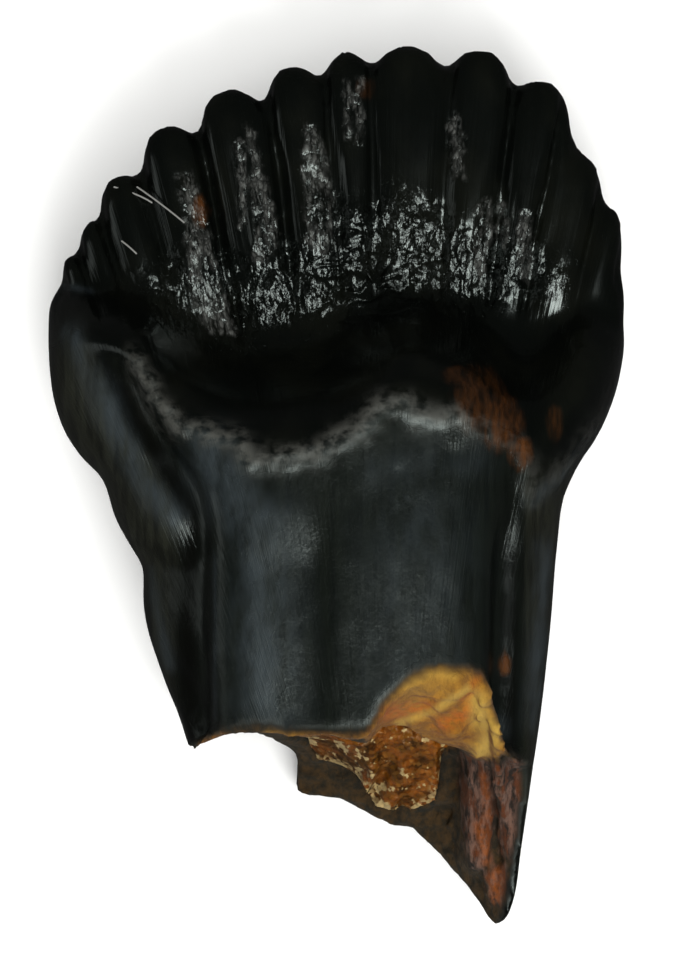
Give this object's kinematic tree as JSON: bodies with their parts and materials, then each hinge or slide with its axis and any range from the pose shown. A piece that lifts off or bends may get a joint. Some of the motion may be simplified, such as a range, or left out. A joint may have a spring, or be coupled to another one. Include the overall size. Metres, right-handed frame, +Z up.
{
  "type": "pachycephalosaurus tooth",
  "caption": "Fossil cheek tooth lying on its back: a fan of denticles on a swollen enamel crown, and a root broken through its calcite-filled pulp cavity.",
  "frame": {"origin": "on the surface the tooth rests on, under the middle of its box", "axes": "+Z up, out of the face of the tooth that is seen; +Y along the tooth to the tip of the crown; +X to the right when looking down with the crown away from the viewer"},
  "size_m": [0.008, 0.0122, 0.0048],
  "materials": {
    "fossil_tooth": "near-black mineralised tooth: glossy wrinkled enamel on the crown, smoother satin root, ochre and brown on the broken dentine",
    "calcite": "iron-stained sparry calcite, rough and slightly glassy"
  },
  "bodies": {
    "root": {"tooth": "fossil_tooth", "calcite_fill": "calcite"}
  },
  "joints": []
}
